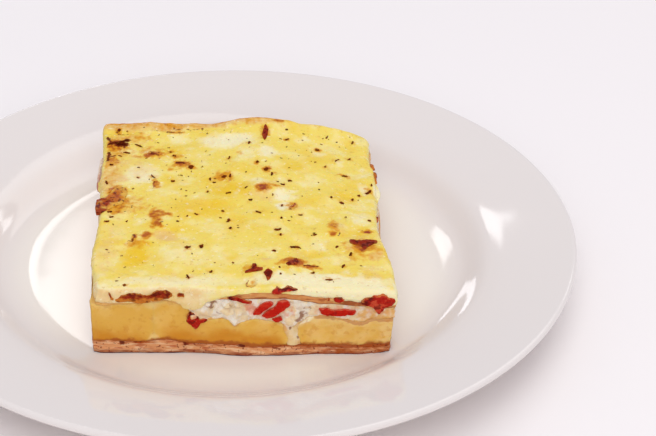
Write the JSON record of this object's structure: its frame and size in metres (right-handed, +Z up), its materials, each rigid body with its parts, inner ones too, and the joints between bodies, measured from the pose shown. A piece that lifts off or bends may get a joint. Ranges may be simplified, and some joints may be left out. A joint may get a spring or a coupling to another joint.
{
  "type": "plate of baked gnocchi with prosciutto",
  "caption": "Round white dinner plate holding a square-cut, layered slab of baked gnocchi with prosciutto, cream filling and a browned melted cheese top with dried herbs.",
  "frame": {"origin": "centre of the plate's foot ring, on the table", "axes": "+Z up, -Y from the plate's centre towards the eater and the cut front of the slab, +X to the right"},
  "size_m": [0.28, 0.28, 0.0405],
  "materials": {
    "plate_glaze": "gloss",
    "baked_prosciutto": "matte",
    "gnocchi_dough": "satin",
    "cream": "satin",
    "melted_cheese": "satin",
    "red_prosciutto": "satin",
    "crisp_prosciutto": "matte"
  },
  "bodies": {
    "root": {"cheese_top": "melted_cheese", "cream_filling": "cream", "gnocchi_left": "gnocchi_dough", "gnocchi_middle": "gnocchi_dough", "gnocchi_right": "gnocchi_dough", "plate": "plate_glaze", "prosciutto_base": "baked_prosciutto", "prosciutto_bit_brow": "crisp_prosciutto", "prosciutto_bit_front": "crisp_prosciutto", "prosciutto_crisp_back": "crisp_prosciutto", "prosciutto_crisp_dark": "crisp_prosciutto", "prosciutto_crisp_front": "crisp_prosciutto", "prosciutto_crisp_middle": "crisp_prosciutto", "prosciutto_crisp_right": "crisp_prosciutto", "prosciutto_crisp_small": "crisp_prosciutto", "prosciutto_crust_left": "crisp_prosciutto", "prosciutto_crust_right": "crisp_prosciutto", "prosciutto_curl": "crisp_prosciutto", "prosciutto_edge_left": "crisp_prosciutto", "prosciutto_fold_front": "crisp_prosciutto", "prosciutto_lump_left": "crisp_prosciutto", "prosciutto_sheet": "baked_prosciutto", "prosciutto_side_left_front": "crisp_prosciutto", "prosciutto_side_right_back": "crisp_prosciutto", "prosciutto_side_right_front": "crisp_prosciutto", "prosciutto_strip_broad": "red_prosciutto", "prosciutto_strip_flat": "red_prosciutto", "prosciutto_strip_short": "red_prosciutto", "prosciutto_strip_upper": "red_prosciutto"}
  },
  "joints": []
}
